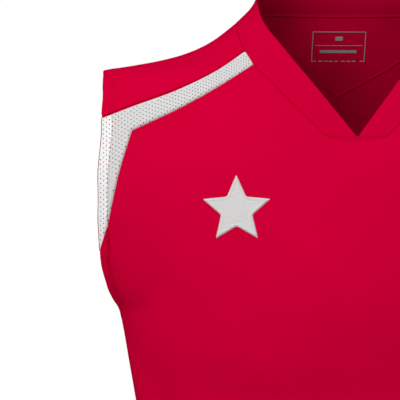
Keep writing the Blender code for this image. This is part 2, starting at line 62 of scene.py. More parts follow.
# The form that the cloth lies on: rings from the hem up to the top of the neck band
form = {
    # height, half width, depth in front, depth behind, roundness in front, roundness behind
    "rings": [
        (-640, 186, 125, 121, 2.15, 2.15),
        (-560, 178, 121, 118, 2.15, 2.15),
        (-480, 164, 113, 108, 2.15, 2.15),
        (-400, 154, 107, 98, 2.15, 2.15),  # waist
        (-340, 159, 108, 96, 2.15, 2.15),
        (-296, 166.4, 112, 99, 2.17, 2.15),
        (-263, 172.2, 117, 102, 2.15, 2.1),
        (-240, 176.2, 120, 104.3, 2.12, 2.05),
        (-224, 179.8, 121, 106, 2.1, 2.0),  # underarm
        (-207, 187.2, 120.3, 107.8, 2.06, 1.92),
        (-190, 197.5, 118.3, 109.4, 2.03, 1.82),
        (-170, 210, 114.8, 110.8, 2.01, 1.71),
        (-150, 220, 110.4, 111.3, 2.0, 1.63),
        (-115, 227.4, 101, 109.6, 2.0, 1.6),
        (-78, 223, 86, 101, 2.0, 1.62),
        (-55, 211.5, 75.5, 94, 1.95, 1.6),
        (-45, 203.5, 70.3, 91, 1.85, 1.56),
        (-41, 198.3, 68, 89.8, 1.76, 1.57),
        (-38, 192.4, 66.2, 88.8, 1.7, 1.58),  # shoulder tip
        (-34, 169.2, 64, 87.5, 1.72, 1.7),
        (-30.3, 149, 62, 86.3, 1.8, 1.8),
        (-25, 129, 59.3, 84.6, 1.95, 1.95),
        (-16, 109, 55.5, 82, 2.1, 2.1),
        (-4.5, 93.1, 51.6, 79.2, 2.2, 2.2),
        (0, 87.8, 50.2, 78.1, 2.2, 2.2),
        (5.6, 81.6, 48.5, 76.9, 2.2, 2.2),
        (11, 76.5, 46.9, 75.8, 2.2, 2.2),
        (18, 72.5, 45.2, 74.6, 2.2, 2.2),
        (40, 69.5, 43, 72, 2.2, 2.2),
    ],
    # height, how far the armhole stands off the form
    "armholeFlare": [
        (-640, 0), (-226, 0), (-217, 5), (-207, 9.5), (-190, 12), (-170, 8), (-150, 3), (-130, 0), (40, 0),
    ],
    "flareAngle": 42,
    "foldRadius": 165,  # turns an angle into a length across a fold
    "hemHeight": -625,
    # top angle, top height, low angle, low height, half width, depth (below zero is a trough)
    "folds": [
        (-74, -232, -52, -330, 26, -2.2), (-62, -250, -40, -372, 30, 1.8), (76, -236, 56, -318, 26, -2.0),
        (64, -262, 44, -360, 28, 1.6), (-16, -330, -24, -660, 34, 3.4), (22, -352, 30, -660, 36, 3.0),
        (-58, -400, -66, -660, 38, 4.0), (62, -388, 70, -660, 36, 3.8), (3, -430, 2, -660, 30, -3.0),
        (-40, -440, -44, -660, 28, -3.2), (44, -420, 48, -660, 30, -3.0), (-84, -350, -88, -660, 26, -2.6),
        (86, -362, 90, -660, 26, -2.6), (112, -300, 104, -660, 36, 3.2), (-110, -318, -104, -660, 34, 3.4),
        (146, -250, 138, -660, 40, 3.6), (-148, -268, -140, -660, 40, 3.4), (-178, -300, -176, -660, 44, -4.0),
        (128, -380, 122, -660, 28, -2.8), (-130, -396, -122, -660, 28, -2.6), (128, -118, 152, -236, 24, -1.8),
        (-128, -124, -150, -248, 24, -1.8),
    ],
    # finer creases of the same kind, which only the cloth has
    "creases": [
        (-50, -196, -70, -236, 12, -0.8), (-46, -214, -66, -262, 13, 0.6), (52, -200, 72, -240, 12, -0.7),
        (-12, -112, -14, -210, 11, 0.3), (-22, -104, -26, -196, 10, -0.3), (14, -116, 16, -214, 12, 0.3),
        (24, -106, 28, -190, 10, -0.3), (-34, -300, -30, -420, 15, -0.8), (36, -316, 30, -440, 15, -0.8),
        (100, -250, 118, -330, 16, -0.9), (-100, -256, -120, -340, 16, -0.9), (170, -60, 166, -150, 18, -0.7),
        (-168, -64, -163, -160, 18, 0.6), (140, -420, 146, -600, 18, -1.0), (-160, -400, -156, -590, 18, 0.9),
        (10, -500, 14, -660, 16, 1.0), (-54, -480, -52, -660, 16, -1.0),
        (-40, -256, -32, -352, 34, -4.6), (-14, -262, -16, -350, 34, -3.6), (-64, -258, -58, -356, 30, -4.2),
    ],
}

# Seams as seen from the front: (out from the centre, height), for the wearer's left
seams = {
    "neckTop": [(89, 0), (88.4, -10), (83, -25)],
    "neckMesh": [(83, -25), (77, -35.8)],
    "neckLow": [(77, -35.8), (51, -64.6), (23.6, -92.4)],
    "neckBase": [(23.6, -92.4), (12, -93.7), (0, -94.5)],
    "edgeTop": [(73, 18), (71.4, 9), (70.3, 4), (68.2, -1.5), (64.1, -8.6), (60, -14)],
    "edgeLow": [(60, -14), (7, -84)],
    "edgeTip": [(7, -84), (0, -93.5)],
    "backNeckRise": 10.6,
    "edgeRise": 18,
    "backEdgeRise": 23.5,
    "yokeBackAngle": 111,
    "insert": [(0, -53), (51, -23.5)],
    "underV": [(23.4, -94), (12, -95.5), (0, -96.5)],  # a second row of stitching under the point of the V
    "yoke": [(83, -25), (107, -41.5), (137.6, -56.5), (168.7, -67.7)],
    "yokeArmhole": -77.4,
    "mesh": [(77, -35.8), (107.5, -55.3), (138, -72), (171, -87.3)],
    "wedge": [(171, -87.3), (181, -120), (189.4, -158)],
    "meshTip": -179.5,
    "backYoke": [(101, -22), (132, -41), (160, -52)],
    "backYokeArmhole": -60,
}

armhole = {"top": -38, "bottom": -224, "reach": 51.4}  # heights, and how far it reaches forwards and back

# How the cloth turns down at each kind of edge (how deep, how far in), and where rows of points go beside it
edges = {
    "seam": {"valley": 0.6, "reach": 1.3, "rows": (0.5, 1.3, 2.6)},
    "flatSeam": {"valley": 0.22, "reach": 0.7, "rows": (0.4, 1.0, 2.4)},
    # the yoke is stitched down a little above its edge, which leaves a crease over a narrow bead
    "yokeSeam": {"valley": 0.1, "reach": 0.4, "rows": (0.4, 0.75, 1.1, 1.5, 1.9, 2.3, 2.9, 4.0),
                 "crease": (1.5, 1.7, 0.6)},
    "meshTop": {"valley": 0.15, "reach": 0.5, "rows": (0.5, 1.5)},
    # the mesh rolls in under the body
    "meshLow": {"valley": 2.3, "reach": 3.2, "rows": (0.4, 0.9, 1.5, 2.2, 3.2), "fades": 12},
    "bodySeam": {"valley": 0.15, "reach": 0.5, "rows": (0.5, 1.4, 2.8)},
    "armhole": {"valley": 0.4, "reach": 0.6,
                "rows": (0.3, 0.7, 2.2, 4.4, 6.6, 8.0, 8.7, 9.2, 9.7, 10.4, 11.4, 13, 15.5),
                "turned": 10.2, "stitches": (9.2,)},
    "hem": {"valley": 0.5, "reach": 0.6,
            "rows": (0.3, 0.7, 3, 8, 14, 17.2, 17.8, 18.4, 19.6, 20.2, 20.8, 21.6, 22.2, 25),
            "turned": 21.9, "stitches": (17.8, 20.2)},
}
# Beside the armhole's stitching the cloth creases under the arm: the line itself, the body's side of it,
# and the heights between which it comes and goes
underarm = {
    "crease": 1.1, "creaseWidth": 0.55, "depth": 1.7, "hemSide": 0.8, "bodySide": 4.5,
    "heights": (-145, -178, -216, -228), "rows": (-146, -186),
}

sewing = {
    "stitch": 3.0, "stitchGap": 0.4, "stitchWidth": 0.5, "stitchHeight": 0.2, "stitchDeep": 0.5, "stitchArch": 0.16,
    "groove": 0.65, "underV": 0.75, "grooveWidth": 0.6, "grooveRows": (-1.3, -0.6, 0, 0.6, 1.3),
    "edgeThread": 0.29, "edgeThreadPitch": 2.0, "edgeThreadOut": 0.3,
    # the overlocked edges inside: seams, the facing whose knit they follow, how deep the cloth dips, width, thickness
    "allowances": [
        (("neckBase", "neckLow", "neckMesh", "neckTop", "side"), 0, 0.6, 5, 0.3), (("yokeBack",), 180, 0.6, 5, 0.3),
        (("insert", "neckBack"), 180, 0.22, 1.5, 0.12), (("yokeFront",), 0, 1.2, 5, 0.3),
        (("meshLow", "meshWedge"), 0, 2.1, 5, 0.3),
    ],
    # across a strip: share of its half width, how far its top follows the dip, share of its thickness
    "allowanceSection": [
        (-1, 0.2, 0.3), (-0.6, 1, 0.9), (-0.18, 1, 1), (0, 1, 0.1), (0.18, 1, 1), (0.6, 1, 0.9), (1, 0.2, 0.3),
    ],
}

cloth = {
    "thickness": 0.8,  # one layer of 150 g polyester knit, a little thick so that its edges show
    "turnedPly": 0.7,  # what the turned layer adds inside a hem
    "gap": 0.06,  # half the gap along a seam
    "edgeStep": 2.0,  # spacing of points along an edge
    "spacing": 4.2,  # and of the net inside a panel
    "merge": 0.28,  # points of the rows closer than this are one
    "rowShare": 0.86,  # a row's point this much nearer to some other edge than it should be is left out
    # how near the net comes to the edge and to the rows, in spacings
    "netToEdge": 0.6, "netToRows": 0.55,
    # how near to an eyelet's rim the edge, the rows and the net come
    "holeToEdge": 0.35, "rowsToHole": 0.25, "netToHole": 0.4,
}


def stacked(*values):
    return np.stack(values, axis=1)


def closedLine(points):
    return np.concatenate([points, points[:1]])


def indexGrid(rows, columns):
    return [grid.ravel() for grid in np.meshgrid(np.arange(rows), np.arange(columns), indexing="ij")]


# The form, for many points at once

def slopesOf(xs, ys):  # smooth, with no bump between the points
    steps = np.diff(xs)
    rates = np.diff(ys) / steps
    before, after = rates[:-1], rates[1:]
    near, far = 2 * steps[1:] + steps[:-1], steps[1:] + 2 * steps[:-1]
    with np.errstate(divide="ignore", invalid="ignore"):
        mean = (near + far) / (near / before + far / after)
    inner = np.where(before * after > 0, mean, 0)
    return np.concatenate([rates[:1], inner, rates[-1:]])


def smoothTable(rows):
    table = np.array(rows, float)
    heights, columns = table[:, 0], table[:, 1:].T
    return heights, columns, np.array([slopesOf(heights, column) for column in columns])


def readTable(table, height):
    heights, columns, slopes = table
    height = np.clip(height, heights[0], heights[-1])
    i = np.clip(np.searchsorted(heights, height, side="right"), 1, len(heights) - 1) - 1
    step = heights[i + 1] - heights[i]
    t = (height - heights[i]) / step
    start, leave = 2 * t**3 - 3 * t**2 + 1, (t**3 - 2 * t**2 + t) * step
    end, arrive = 3 * t**2 - 2 * t**3, (t**3 - t**2) * step
    return start * columns[:, i] + leave * slopes[:, i] + end * columns[:, i + 1] + arrive * slopes[:, i + 1]


rings = smoothTable(form["rings"])
flare = smoothTable(form["armholeFlare"])


def angleBetween(a, b):
    return (a - b + 180) % 360 - 180


def eased(t):
    t = np.clip(t, 0, 1)
    return t * t * (3 - 2 * t)


def foldOffset(angle, height):
    fromSide = np.abs(np.abs(angleBetween(angle, 0)) - 90)
    window = np.where(fromSide < form["flareAngle"], np.cos(math.pi / 2 * fromSide / form["flareAngle"]) ** 2, 0)
    total = readTable(flare, height)[0] * window
    for topAngle, top, lowAngle, low, halfWidth, depth in form["folds"] + form["creases"]:
        drop = (top - height) / (top - low)
        middle = topAngle + angleBetween(lowAngle, topAngle) * drop
        across = np.radians(angleBetween(angle, middle)) * form["foldRadius"] / halfWidth
        ends = eased(drop / 0.45) * (eased((1 - drop) / 0.3) if low > form["hemHeight"] else 1)
        shape = np.where(np.abs(across) < 2, np.cos(across * math.pi / 4) ** 2, 0)
        total = total + np.where((drop > 0) & (drop < 1), depth * ends * shape, 0)
    return total


def ringAt(height, inFront):
    width, depthFront, depthBack, roundFront, roundBack = readTable(rings, height)
    return width, np.where(inFront, depthFront, depthBack), np.where(inFront, roundFront, roundBack)


def signedPower(value, exponent):
    return np.sign(value) * np.abs(value) ** exponent


def formPoint(angle, height):
    angle, height = np.broadcast_arrays(np.asarray(angle, float), np.asarray(height, float))
    s, c = np.sin(np.radians(angle)), np.cos(np.radians(angle))
    width, depth, roundness = ringAt(height, c > 0)
    fold = foldOffset(angle, height)
    x = (width + fold) * signedPower(s, 2 / roundness)
    y = -(depth + fold) * signedPower(c, 2 / roundness)
    return np.stack([x, y, height], axis=-1)


def formAngle(points):
    width, depth, roundness = ringAt(points[:, 2], points[:, 1] < 0)
    across = signedPower(points[:, 0] / width, roundness / 2)
    return np.degrees(np.arctan2(across, signedPower(-points[:, 1] / depth, roundness / 2)))


def excess(points):  # below 0 inside the form, above 0 outside
    width, depth, roundness = ringAt(points[:, 2], points[:, 1] < 0)
    fold = foldOffset(formAngle(points), points[:, 2])
    across = np.abs(points[:, 0]) / (width + fold)
    along = np.abs(points[:, 1]) / (depth + fold)
    return across**roundness + along**roundness - 1


def gradient(points):
    step = 0.1
    return stacked(*[(excess(points + move) - excess(points - move)) / (2 * step) for move in np.eye(3) * step])


def laid(points):  # moved straight onto the form
    points = np.array(points, float)
    for _ in range(5):
        slope = gradient(points)
        points = points - slope * (excess(points) / (slope**2).sum(1))[:, None]
    return points


def unit(vectors):
    return vectors / np.maximum(np.linalg.norm(vectors, axis=-1, keepdims=True), 1e-9)


def outward(points):
    return unit(gradient(points))


def crossing(inside, outside):  # where the way from inside the form to outside it passes through
    for _ in range(30):
        middle = (inside + outside) / 2
        isIn = (excess(middle) < 0)[:, None]
        inside, outside = np.where(isIn, middle, inside), np.where(isIn, outside, middle)
    return outside


def seenFrom(side, view):  # from (out, height) in a front view to the form, in front or behind
    view = np.asarray(view, float)
    near = stacked(view[:, 0], np.zeros(len(view)), view[:, 1])
    return crossing(near, near + np.array([0, side * 200, 0]))


# Lines on the form

def lengthsAlong(points):
    return np.concatenate([[0], np.cumsum(np.linalg.norm(np.diff(points, axis=0), axis=1))])


def resampled(values, lengths, at):
    return np.stack([np.interp(at, lengths, column) for column in values.T], axis=1)


def evenly(points, pieces=None, step=None):
    lengths = lengthsAlong(points)
    pieces = pieces or max(2, round(lengths[-1] / (step or cloth["edgeStep"])))
    return resampled(points, lengths, np.linspace(0, lengths[-1], pieces + 1))


def spline(points, steps=24):  # a smooth curve through a few points
    knots = np.array(points, float)
    knots = np.concatenate([[2 * knots[0] - knots[1]], knots, [2 * knots[-1] - knots[-2]]])
    t = np.arange(steps)[:, None] / steps
    found = [
        0.5 * (2 * b + (c - a) * t + (2 * a - 5 * b + 4 * c - d) * t * t + (3 * b - a - 3 * c + d) * t**3)
        for a, b, c, d in zip(knots, knots[1:], knots[2:], knots[3:])
    ]
    return np.concatenate(found + [knots[-2:-1]])


def seamLine(points, side=front, pieces=None):
    return laid(evenly(seenFrom(side, spline(points)), pieces))


def armholeLine(high, low, side):
    middle, half = (armhole["top"] + armhole["bottom"]) / 2, (armhole["top"] - armhole["bottom"]) / 2
    turns = np.linspace(math.acos((high - middle) / half), math.acos((low - middle) / half), 121)
    y, heights = side * armhole["reach"] * np.abs(np.sin(turns)), middle + half * np.cos(turns)
    start = stacked(0 * turns, y, heights)
    return laid(evenly(crossing(start, start + np.array([300, 0, 0]))))


def backNeck(start, end, raised=0.0, pieces=None):
    angles = np.linspace(start, end, 61)
    behind = np.sin(np.radians(angles - 90))
    rise = seams["edgeRise"] + (seams["backEdgeRise"] - seams["edgeRise"]) * behind
    seam = seams["backNeckRise"] * (1 - (1 - behind) ** 3)
    return laid(evenly(formPoint(angles, seam + rise * raised), pieces))


def mirrored(points):
    return laid(points[::-1] * np.array([-1, 1, 1]))


def viewOf(point):
    return (point[0], point[2])


print("shirt: seam lines")
lines = {
    **{name: seamLine(seams[name]) for name in ("neckTop", "neckMesh", "neckLow", "neckBase", "underV")},
    "neckBehind": backNeck(90, seams["yokeBackAngle"]),
    "neckBack": backNeck(seams["yokeBackAngle"], 180),
    "armYokeFront": armholeLine(armhole["top"], seams["yokeArmhole"], front),
    "armYokeBack": armholeLine(armhole["top"], seams["backYokeArmhole"], back),
    "armMesh": armholeLine(seams["yokeArmhole"], seams["meshTip"], front),
    "armFront": armholeLine(seams["meshTip"], armhole["bottom"], front),
    "armBack": armholeLine(seams["backYokeArmhole"], armhole["bottom"], back),
    "meshLow": seamLine(seams["mesh"]),
    "side": evenly(formPoint(90, np.linspace(armhole["bottom"], form["hemHeight"], 201))),
}
lines["yokeFront"] = seamLine(seams["yoke"] + [viewOf(lines["armMesh"][0])])
lines["meshWedge"] = seamLine(seams["wedge"] + [viewOf(lines["armFront"][0])])
lines["yokeBack"] = seamLine([viewOf(lines["neckBack"][0])] + seams["backYoke"] + [viewOf(lines["armBack"][0])], back)
lines["insert"] = seamLine(seams["insert"] + [viewOf(lines["neckBack"][0])], back)


def directions(line):
    return unit(np.concatenate([line[1:], line[-1:]]) - np.concatenate([line[:1], line[:-1]]))


def besideArmhole(line, middle, distance):
    sideways = unit(np.cross(outward(line), directions(line)))
    if (sideways * (line - middle)).sum(1).mean() < 0:
        sideways = -sideways
    return laid(line + sideways * distance)


armholes = []
for own in (lambda line: line, mirrored):
    rounds = [own(lines[name]) for name in ("armYokeFront", "armMesh", "armFront")]
    rears = [own(lines[name]) for name in ("armYokeBack", "armBack")]
    around, middle = [evenly(line, step=5) for line in rounds + rears], np.concatenate(rounds + rears).mean(0)
    armholes.append({"front": rounds, "back": rears, "around": around, "middle": middle})


def hemLine(start, end):
    return evenly(formPoint(np.linspace(start, end, 241), form["hemHeight"]))


# Meshes

def distanceTo(points, line):  # from each point to a line of points, in 2 or 3 dimensions
    a, b = line[:-1], line[1:]
    along = b - a
    size = np.maximum((along**2).sum(1), 1e-12)
    best = np.full(len(points), 1e9)
    for i in range(0, len(points), 1500):
        offset = points[i:i + 1500, None] - a
        share = np.clip((offset * along).sum(2) / size, 0, 1)
        best[i:i + 1500] = np.linalg.norm(offset - share[..., None] * along, axis=2).min(1)
    return best


def fromArmholes(points):
    return np.min([distanceTo(points, line) for own in armholes for line in own["around"]], axis=0)


def insideOf(points, outline):
    a, b = outline, np.roll(outline, -1, axis=0)
    found = np.zeros(len(points), bool)
    for i in range(0, len(points), 1500):
        x, y = points[i:i + 1500, 0, None], points[i:i + 1500, 1, None]
        spans = (a[:, 1] > y) != (b[:, 1] > y)
        with np.errstate(divide="ignore", invalid="ignore"):
            at = a[:, 0] + (y - a[:, 1]) / (b[:, 1] - a[:, 1]) * (b[:, 0] - a[:, 0])
        found[i:i + 1500] = (spans & (x < at)).sum(1) % 2 == 1
    return found


def addObject(name, data):
    made = bpy.data.objects.new(name, data)
    bpy.context.scene.collection.objects.link(made)
    return made


# uv: millimetres of cloth, for each point or for each corner of a face
def makeMesh(name, points, faces, uv, materials, faceMaterials=None, sharpAngle=55):
    mesh = bpy.data.meshes.new(name)
    mesh.from_pydata((points * mm).tolist(), [], faces.tolist())
    corners = uv[faces.ravel()] if len(uv) == len(points) else uv
    mesh.uv_layers.new(name="clothMillimetres").data.foreach_set("uv", corners.astype(np.float32).ravel())
    for material in materials:
        mesh.materials.append(material)
    if faceMaterials is not None:
        mesh.polygons.foreach_set("material_index", faceMaterials.astype(np.int32))
    mesh.shade_smooth()
    mesh.set_sharp_from_angle(angle=math.radians(sharpAngle))
    mesh.update()
    return addObject(name, mesh)


def joinMesh(name, parts, material):
    points, faces, uvs = zip(*parts)
    starts = np.cumsum([0] + [len(own) for own in points])
    faces = [own + start for own, start in zip(faces, starts)]
    return makeMesh(name, np.concatenate(points), np.concatenate(faces), np.concatenate(uvs), [material])


def closedShell(outerPoints, innerPoints, triangles):  # both sides and the walls between them
    count = len(outerPoints)
    directed = np.concatenate([triangles[:, [0, 1]], triangles[:, [1, 2]], triangles[:, [2, 0]]])
    keys, reverse = directed[:, 0] * count + directed[:, 1], directed[:, 1] * count + directed[:, 0]
    rim = directed[~np.isin(keys, reverse)]
    a, b = rim[:, 0], rim[:, 1]
    walls = np.concatenate([stacked(b, a, a + count), stacked(b, a + count, b + count)])
    faces = np.concatenate([triangles, triangles[:, ::-1] + count, walls])
    sides = np.repeat([0, 1, 2], [len(triangles), len(triangles), len(walls)])
    return np.concatenate([outerPoints, innerPoints]), faces, sides


def turnedOut(points, triangles, normals):  # every triangle wound to face outwards
    a, b, c = (points[triangles[:, k]] for k in range(3))
    facing = (np.cross(b - a, c - a) * normals[triangles[:, 0]]).sum(1)
    return np.where((facing < 0)[:, None], triangles[:, ::-1], triangles)


meridian = np.linspace(form["rings"][0][0], form["rings"][-1][0], 341)
meridianLengths = lengthsAlong(formPoint(45, meridian))


def unrolled(points, facing):  # angle and length of cloth, as a flat pattern
    turn = angleBetween(formAngle(points), facing)
    return stacked(np.radians(turn) * form["foldRadius"], np.interp(points[:, 2], meridian, meridianLengths))


def rolledUp(flat, facing):
    angles = facing + np.degrees(flat[:, 0] / form["foldRadius"])
    return formPoint(angles, np.interp(flat[:, 1], meridianLengths, meridian))


def knitPattern(facing):  # lengths of cloth round and down from the facing angle, for the knit to follow
    count = 171
    turns, heights = np.arange(-180, 181), np.linspace(meridian[0], meridian[-1], count)
    grid = formPoint(facing + turns[None], heights[:, None])
    steps = np.cumsum(np.linalg.norm(np.diff(grid, axis=1), axis=2), axis=1)
    around = np.concatenate([np.zeros((count, 1)), steps], axis=1)
    around -= around[:, 180:181]  # from the middle

    def lengthsOf(points):
        column = angleBetween(formAngle(points), facing) + 180
        row = np.clip((points[:, 2] - heights[0]) / (heights[1] - heights[0]), 0, count - 1.001)
        i, j = np.clip(column.astype(int), 0, 359), row.astype(int)
        a, b = column - i, row - j
        low, high = (around[k, i] * (1 - a) + around[k, i + 1] * a for k in (j, j + 1))
        return stacked(low * (1 - b) + high * b, np.interp(points[:, 2], meridian, meridianLengths))

    return lengthsOf


def edgeDip(distance, valley, reach):
    return -valley * (1 - np.clip(distance / reach, 0, 1)) ** 2


def underarmDip(height, beside):  # beside: how far from the stitching, below 0 towards the armhole
    top, full, fade, end = underarm["heights"]
    share = eased((top - height) / (top - full)) * (1 - eased((fade - height) / (fade - end)))
    width = np.where(beside < 0, underarm["hemSide"], underarm["bodySide"])
    line = underarm["crease"] * ridge(beside, underarm["creaseWidth"])
    return -share * (line + underarm["depth"] * ridge(beside, width))


def evenNet(outline, spacing, start):  # staggered rows of points inside an outline
    low, high = outline.min(0), outline.max(0)
    rise = spacing * math.sqrt(3) / 2
    rows = []
    for row in range(math.ceil((high[1] - low[1]) / rise)):
        across = np.arange(low[0] + row % 2 / 2 * spacing, high[0], spacing)
        rows.append(stacked(across, np.full(len(across), low[1] + (row + start) * rise)))
    net = np.concatenate(rows)
    return net[insideOf(net, outline)]


def loopEdges(count, first=0):
    return [(first + i, first + (i + 1) % count) for i in range(count)]


def triangulated(flat, fixed):
    _, _, triangles, cameFrom, _, _ = delaunay_2d_cdt([Vector(point) for point in flat], fixed, [], 1, 1e-5)
    ids = np.array([came[0] if came else -1 for came in cameFrom])
    triangles = ids[np.array([corners for corners in triangles if len(corners) == 3])]
    return triangles[(triangles >= 0).all(1)]


def rowsBesideEdges(runs, loop, inwards, rim, grooves):
    starts = np.cumsum([0] + [len(line) - 1 for line, _ in runs])
    found = []
    for (line, kind), start in zip(runs, starts):
        i = np.arange(start, start + len(line)) % len(loop)
        for distance in edges[kind]["rows"]:
            moved = laid(loop[i] + inwards[i] * distance)
            away = distanceTo(moved, closedLine(rim))
            found.append(moved[away > distance * cloth["rowShare"] - cloth["gap"]])
    for line, _ in grooves:
        sideways = np.cross(outward(line), directions(line))
        found += [laid(line + sideways * across) for across in sewing["grooveRows"]]
    return np.concatenate(found)


def ridge(distance, width):
    return np.exp(-((distance / width) ** 2))


def sewnHeights(points, runs, grooves):  # of the outer and inner surfaces over the form, and where cloth is doubled
    outer, inner = np.zeros(len(points)), np.zeros(len(points))
    doubled = np.zeros(len(points), bool)
    fromArmhole = fromArmholes(points)
    for kind in sorted({kind for _, kind in runs}):
        edge = edges[kind]
        distance = np.min([distanceTo(points, line) for line, own in runs if own == kind], axis=0)
        valley = edge["valley"]
        if "fades" in edge:  # flat again where the seam runs out at the armhole
            valley = valley * (0.2 + 0.8 * eased(fromArmhole / edge["fades"]))
        outer += edgeDip(distance, valley, edge["reach"])
        if "turned" in edge:
            ply = 1 - eased((distance - edge["turned"] + 0.3) / 0.6)
            outer += 0.1 * ply
            inner -= cloth["turnedPly"] * ply
            doubled |= distance < edge["turned"] - 0.2
            for at in edge["stitches"]:
                outer -= sewing["groove"] * ridge(distance - at, sewing["grooveWidth"])
        if "crease" in edge:
            middle, depth, width = edge["crease"]
            outer -= depth * ridge(distance - middle, width)
        if kind == "armhole":
            outer += underarmDip(points[:, 2], fromArmhole - edge["stitches"][0])
    for line, depth in grooves:
        outer -= depth * ridge(distanceTo(points, line), sewing["grooveWidth"])
    return outer[:, None], (inner + (outer - cloth["thickness"]))[:, None], doubled


def farFrom(points, others, distance):
    tree = KDTree(len(others))
    for i, (x, y) in enumerate(others):
        tree.insert((x, y, 0), i)
    tree.balance()
    return points[[tree.find((x, y, 0))[2] > distance for x, y in points]]


# runs: the closed outline as (line, kind of edge), each line starting where the last one ends.
# A piece is cut flat as it is seen unrolled from its facing angle, or straight from the front if it has none.
def panel(name, runs, materials, facing=None, spacing=cloth["spacing"], holes=None, grooves=()):
    def flatten(points):
        return points[:, [0, 2]] if facing is None else unrolled(points, facing)

    loop = np.concatenate([line[:-1] for line, _ in runs])
    out = outward(loop)
    before, after = loop - np.roll(loop, 1, axis=0), np.roll(loop, -1, axis=0) - loop
    inwards = unit(np.cross(out, before)) + unit(np.cross(out, after))
    inwards *= np.minimum(2 / np.maximum((inwards**2).sum(1), 1e-6), 3.0)[:, None]
    if insideOf(flatten(laid(loop + inwards * 1.5)), flatten(loop)).mean() < 0.5:
        inwards = -inwards
    rim = laid(loop + inwards * cloth["gap"])
    outline = flatten(rim)
    closedOutline, count = closedLine(outline), len(outline)

    rows = flatten(rowsBesideEdges(runs, loop, inwards, rim, grooves))
    rows = rows[insideOf(rows, outline)]
    _, firstOf = np.unique(np.round(rows / cloth["merge"]).astype(int), axis=0, return_index=True)
    rows = rows[np.sort(firstOf)]
    net = evenNet(outline, spacing, 0.5)
    net = net[distanceTo(net, closedOutline) > cloth["netToEdge"] * spacing]
    net = farFrom(net, rows, cloth["netToRows"] * spacing)

    circles, fixed, sides = [], loopEdges(count), panels["holeSides"]
    if holes is not None:
        centres, radius = holes
        kept = insideOf(centres, outline)
        kept[kept] = distanceTo(centres[kept], closedOutline) > radius[kept] + cloth["holeToEdge"]
        turns = np.arange(sides) / sides * 2 * math.pi
        circle = stacked(np.cos(turns), np.sin(turns))
        circles = [centre + circle * size for centre, size in zip(centres[kept], radius[kept])]
        rows = farFrom(rows, centres[kept], panels["holeRadius"] + cloth["rowsToHole"])
        net = farFrom(net, centres[kept], panels["holeRadius"] + cloth["netToHole"])
    for hole in range(len(circles)):
        fixed += loopEdges(sides, count + hole * sides)
    flat = np.concatenate([outline, *circles, rows, net])
    triangles = triangulated(flat, fixed)
    if circles:  # nothing closes a hole
        holeOf = np.full(len(flat), -1)
        holeOf[count:count + len(circles) * sides] = np.repeat(np.arange(len(circles)), sides)
        a, b, c = holeOf[triangles].T
        triangles = triangles[~((a >= 0) & (a == b) & (b == c))]

    points = seenFrom(front, flat) if facing is None else rolledUp(flat, facing)
    points[:count] = rim
    normals = outward(points)
    triangles = turnedOut(points, triangles, normals)
    outer, inner, doubled = sewnHeights(points, runs, grooves)
    allPoints, faces, shows = closedShell(points + normals * outer, points + normals * inner, triangles)
    shows = np.where(shows == 1, 1, 0)
    # faces where the hem is doubled get the brighter colours, painted light for two layers of the same white mesh
    if len(materials) > 2:  # the layer that is turned in at a hem shows through as brighter cloth
        shows[:len(triangles)][doubled[triangles].all(1)] = 2
    uv = flat if facing is None else knits[facing](points)
    return makeMesh(name, allPoints, faces, np.tile(uv, (2, 1)), materials, shows)


# Materials

def linear(hexColour):
    channels = [int(hexColour[i:i + 2], 16) / 255 for i in (1, 3, 5)]
    return tuple(c / 12.92 if c <= 0.04045 else ((c + 0.055) / 1.055) ** 2.4 for c in channels) + (1.0,)


def addNode(tree, kind, values=None, links=None, **settings):
    made = tree.nodes.new(kind)
    for key, value in settings.items():
        setattr(made, key, value)
    for key, value in (values or {}).items():
        made.inputs[key].default_value = value
    for key, source in (links or {}).items():
        tree.links.new(getattr(source, "outputs", [source])[0], made.inputs[key])
    return made


def waveScale(period):  # the bands of a wave texture repeat every 2 pi / 20 units at scale 1
    return 2 * math.pi / 20 / period


def startMaterial(name):
    material = bpy.data.materials.new(name)
    material.use_nodes = True
    material.node_tree.nodes.clear()
    return material, material.node_tree, addNode(material.node_tree, "ShaderNodeUVMap", uv_map="clothMillimetres")


# share runs from 0 to 1 between the dark and the light colour; relief is the bump's strength and its depth
def finishMaterial(material, finish, share, height, colours=None):
    tree, (strength, depth), colours = material.node_tree, finish["relief"], colours or finish["colours"]
    light, dark = (linear(colour) for colour in colours)
    colour = addNode(tree, "ShaderNodeMix", {6: dark, 7: light}, {0: share}, data_type="RGBA")
    bump = addNode(tree, "ShaderNodeBump", {"Strength": strength, "Distance": depth * mm}, {"Height": height})
    shader = addNode(
        tree, "ShaderNodeBsdfPrincipled", finish["surface"], {"Base Color": colour.outputs[2], "Normal": bump}
    )
    addNode(tree, "ShaderNodeOutputMaterial", None, {"Surface": shader})
    return material


def ribs(tree, place, period, turn=0.0, distortion=0.0):  # parallel ridges, a period apart
    slant = addNode(tree, "ShaderNodeMapping", {"Rotation": (0, 0, math.radians(turn))}, {"Vector": place})
    wave = {"Scale": waveScale(period), "Distortion": distortion}
    return addNode(tree, "ShaderNodeTexWave", wave, {"Vector": slant}).outputs["Fac"]


# Polyester interlock, circular knitted and piece dyed: close vertical wales and a matt face, with hardly any gloss.
# The real wales are 0.7 mm apart, too fine to show, so they are drawn at 1.7 mm and faint.
interlock = {
    "colours": ("#D20037", "#C90033"), "wale": 1.7, "grain": 1.1, "cloud": 70, "relief": (0.35, 0.08),
    "surface": {"Roughness": 0.85, "IOR": 1.54, "Specular IOR Level": 0.0},
}


